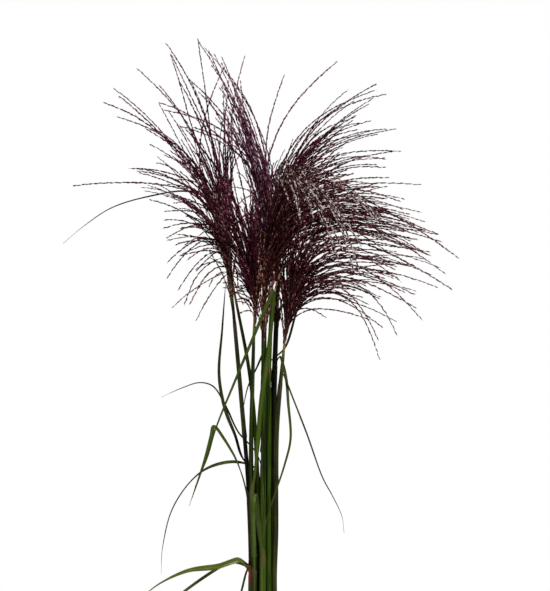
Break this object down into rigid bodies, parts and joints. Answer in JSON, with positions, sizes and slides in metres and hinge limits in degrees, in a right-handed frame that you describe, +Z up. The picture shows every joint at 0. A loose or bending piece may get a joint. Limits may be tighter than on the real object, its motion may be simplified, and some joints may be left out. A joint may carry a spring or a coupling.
{
  "type": "potted miscanthus grass clump",
  "caption": "Clump of ornamental grass in a round tapered clay pot: close upright stems, long thin arching leaves and open fans of dark purple flower plumes.",
  "frame": {"origin": "centre of the pot's underside", "axes": "+Z up along the pot's axis, -Y the clump's front"},
  "size_m": [0.5094, 0.4258, 1.0153],
  "materials": {
    "clay": "matte unglazed terracotta",
    "bark_mix": "rough composted bark",
    "culm_skin": "smooth, slightly waxy plant skin",
    "leaf": "satin leaf with fine lengthwise veins",
    "plume": "dark purple spikelets with a slight gloss"
  },
  "bodies": {
    "root": {"pot": "clay", "bark_mix": "bark_mix", "culm_left": "culm_skin", "culm_left_back": "culm_skin", "culm_front_left": "culm_skin", "culm_centre": "culm_skin", "culm_right_front": "culm_skin", "culm_right_back": "culm_skin", "culm_front": "culm_skin", "culm_back": "culm_skin", "culm_short_left": "culm_skin", "culm_short_right": "culm_skin", "leaf_left_arching": "leaf", "leaf_left_kinked": "leaf", "leaf_long_folded": "leaf", "leaf_thin_upright": "leaf", "leaf_left_reaching": "leaf", "leaf_right_behind": "leaf", "leaf_right_hanging": "leaf", "leaf_right_trailing": "leaf", "leaf_low_broad": "leaf", "leaf_low_slanting": "leaf", "leaf_low_thin": "leaf", "leaf_far_left_flag": "leaf", "leaf_thin_crossing": "leaf", "leaf_back_arching": "leaf", "leaf_back_right": "leaf", "leaf_front_arching": "leaf", "leaf_lowest_right_front": "leaf", "leaf_lowest_right": "leaf", "leaf_lowest_back": "leaf", "leaf_lowest_left_back": "leaf", "leaf_lowest_left": "leaf", "leaf_lowest_front_left": "leaf", "leaf_lowest_front": "leaf", "leaf_lowest_front_right": "leaf", "plume_left": "plume", "plume_left_back": "plume", "plume_front_left": "plume", "plume_centre": "plume", "plume_right_front": "plume", "plume_right_back": "plume", "plume_front": "plume", "plume_back": "plume"}
  },
  "joints": []
}
